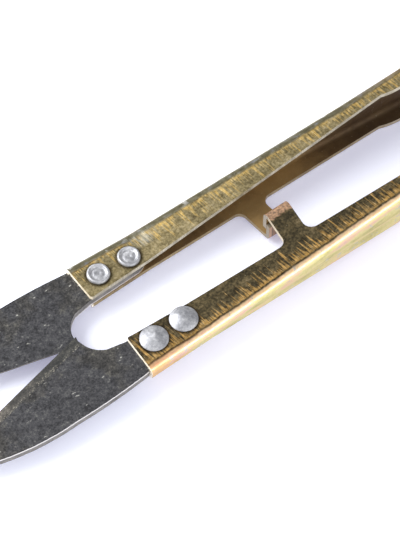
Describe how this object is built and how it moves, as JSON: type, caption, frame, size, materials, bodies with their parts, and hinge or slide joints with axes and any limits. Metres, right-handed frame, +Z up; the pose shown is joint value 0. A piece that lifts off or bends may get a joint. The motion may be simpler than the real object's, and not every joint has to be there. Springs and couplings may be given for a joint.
{
  "type": "thread snips",
  "caption": "Spring thread snips: one folded sheet-steel frame bent into a bow, with channel arms that clamp two overlapping bevelled blades and a hooked stop between the arms.",
  "frame": {"origin": "bottom centre of the bounding box, under the middle of the length", "axes": "+X towards the blade tips, +Y towards the left arm, which carries the upper blade, +Z up, square to the plane that the blades rub in"},
  "size_m": [0.1092, 0.023, 0.0096],
  "materials": {
    "frame_steel": "yellow zinc plating with drawn scratches, satin",
    "blade_steel": "blackened, mottled, with a ground bevel",
    "rivet_steel": "bright satin, lightly hammered"
  },
  "bodies": {
    "spring_bow": {"spring_bow": "frame_steel"},
    "left_arm": {"left_arm": "frame_steel", "left_blade": "blade_steel", "left_front_rivet": "rivet_steel", "left_rear_rivet": "rivet_steel"},
    "right_arm": {"right_arm": "frame_steel", "right_blade": "blade_steel", "right_front_rivet": "rivet_steel", "right_rear_rivet": "rivet_steel"}
  },
  "joints": [
    {"name": "left_squeeze", "type": "hinge", "parent": "spring_bow", "child": "left_arm", "pos_m": [-0.04898, 0.00682, 0.0048], "axis": [0, 0, -1], "range_deg": [0, 3.55], "stiffness_Nm_per_rad": 2, "springref_deg": -1.72},
    {"name": "right_squeeze", "type": "hinge", "parent": "spring_bow", "child": "right_arm", "pos_m": [-0.04898, -0.00682, 0.0048], "axis": [0, 0, 1], "range_deg": [0, 3.55], "stiffness_Nm_per_rad": 2, "springref_deg": -1.72}
  ],
  "couplings": [
    {"joint": "right_squeeze", "follows": "left_squeeze", "ratio": 1}
  ]
}
